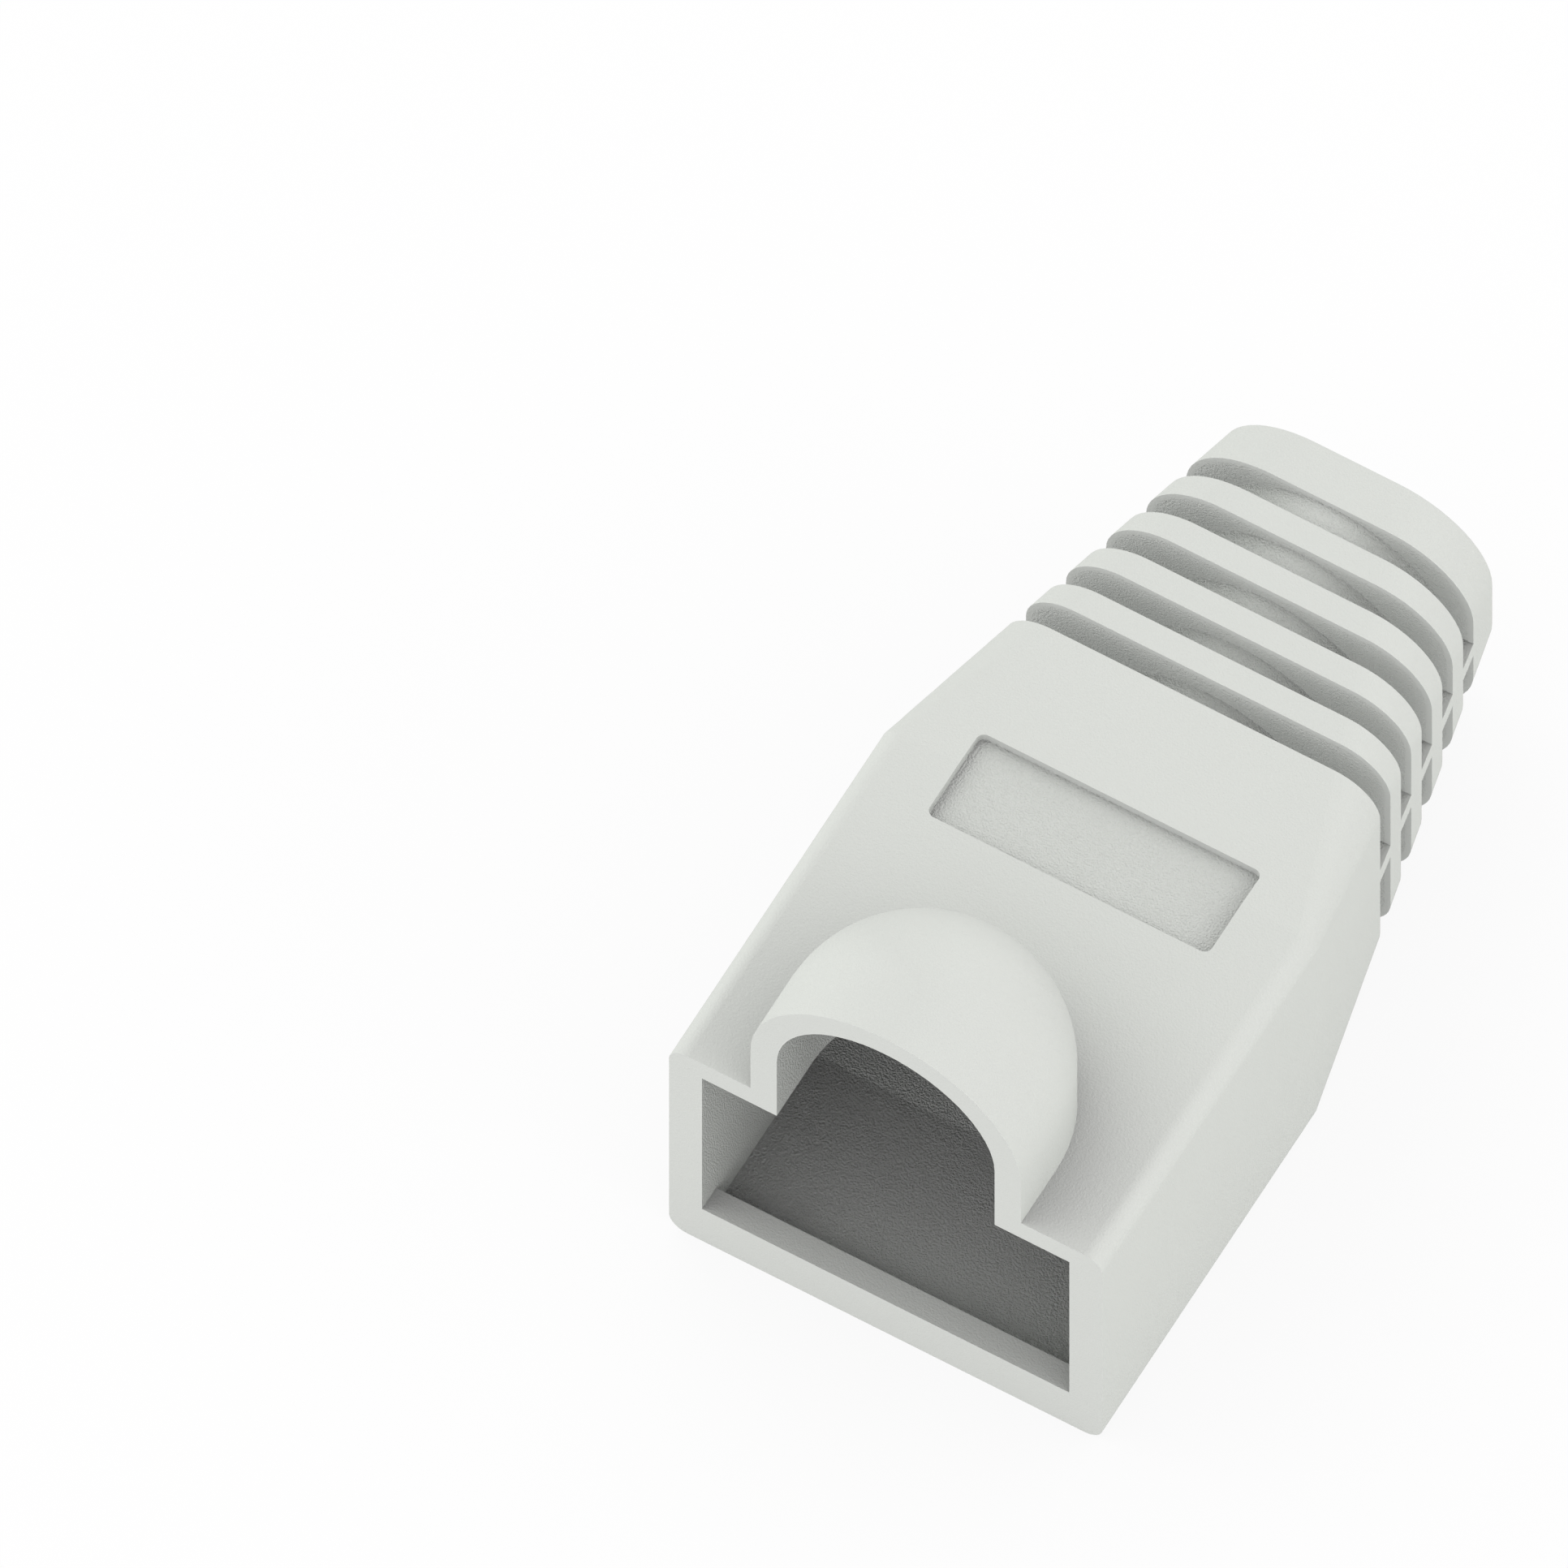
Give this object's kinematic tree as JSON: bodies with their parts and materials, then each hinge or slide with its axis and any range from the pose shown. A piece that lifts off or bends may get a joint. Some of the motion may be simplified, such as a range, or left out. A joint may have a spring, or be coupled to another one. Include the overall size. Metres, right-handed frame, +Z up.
{
  "type": "rj45 strain relief boot",
  "caption": "Moulded strain relief boot for an RJ45 plug: square mouth under a tab hood, tapering to a slotted flexible tail round the cable bore.",
  "frame": {"origin": "middle of the footprint on the plane of the flat underside, half way between the mouth and the tail end", "axes": "+Y from the mouth to the tail, along the cable; +Z up, out through the hood; +X across the width"},
  "size_m": [0.014, 0.0264, 0.0164],
  "materials": {
    "boot_pvc": "matte moulded soft PVC, very light grey"
  },
  "bodies": {
    "root": {"boot": "boot_pvc"}
  },
  "joints": []
}
